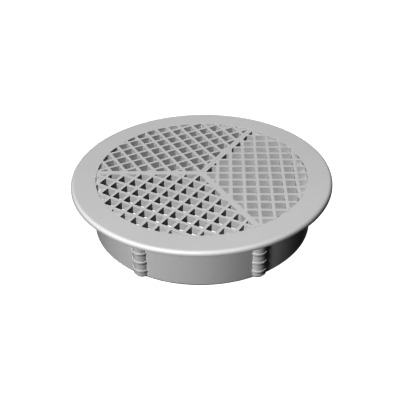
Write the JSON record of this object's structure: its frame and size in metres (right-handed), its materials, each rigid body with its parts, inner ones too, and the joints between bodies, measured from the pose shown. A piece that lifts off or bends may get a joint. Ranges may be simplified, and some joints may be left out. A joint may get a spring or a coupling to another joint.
{
  "type": "ceiling air diffuser",
  "caption": "Round ceiling air diffuser: a flat flanged face with egg-crate sectors that pulls off a barbed neck collar.",
  "frame": {"origin": "centre of the neck's lower rim, which is the bottom centre of the whole", "axes": "+Z is the way the face looks, towards the room; +X is the middle line of sector 1"},
  "size_m": [0.2, 0.2, 0.0414],
  "materials": {
    "face_plastic": "satin light grey moulded plastic",
    "neck_plastic": "satin light grey moulded plastic",
    "grip_plastic": "satin light grey moulded plastic",
    "spring_steel": "rolled spring steel",
    "rivet_aluminium": "bright aluminium",
    "seal_foam": "closed-cell foam"
  },
  "bodies": {
    "collar": {"neck_collar": "neck_plastic", "grip_rib_1": "grip_plastic", "grip_rib_2": "grip_plastic", "grip_rib_3": "grip_plastic", "grip_rib_4": "grip_plastic", "grip_rib_5": "grip_plastic", "grip_rib_6": "grip_plastic"},
    "face": {"face_flange": "face_plastic", "sector_grid_1": "face_plastic", "sector_grid_2": "face_plastic", "sector_grid_3": "face_plastic", "core_carrier": "neck_plastic", "retaining_spring_1": "spring_steel", "retaining_spring_2": "spring_steel", "retaining_spring_3": "spring_steel", "spring_rivet_1": "rivet_aluminium", "spring_rivet_2": "rivet_aluminium", "spring_rivet_3": "rivet_aluminium", "ceiling_seal": "seal_foam"}
  },
  "joints": [
    {"name": "face_lift", "type": "slide", "parent": "collar", "child": "face", "axis": [0, 0, 1], "range_m": [0, 0.045]}
  ]
}
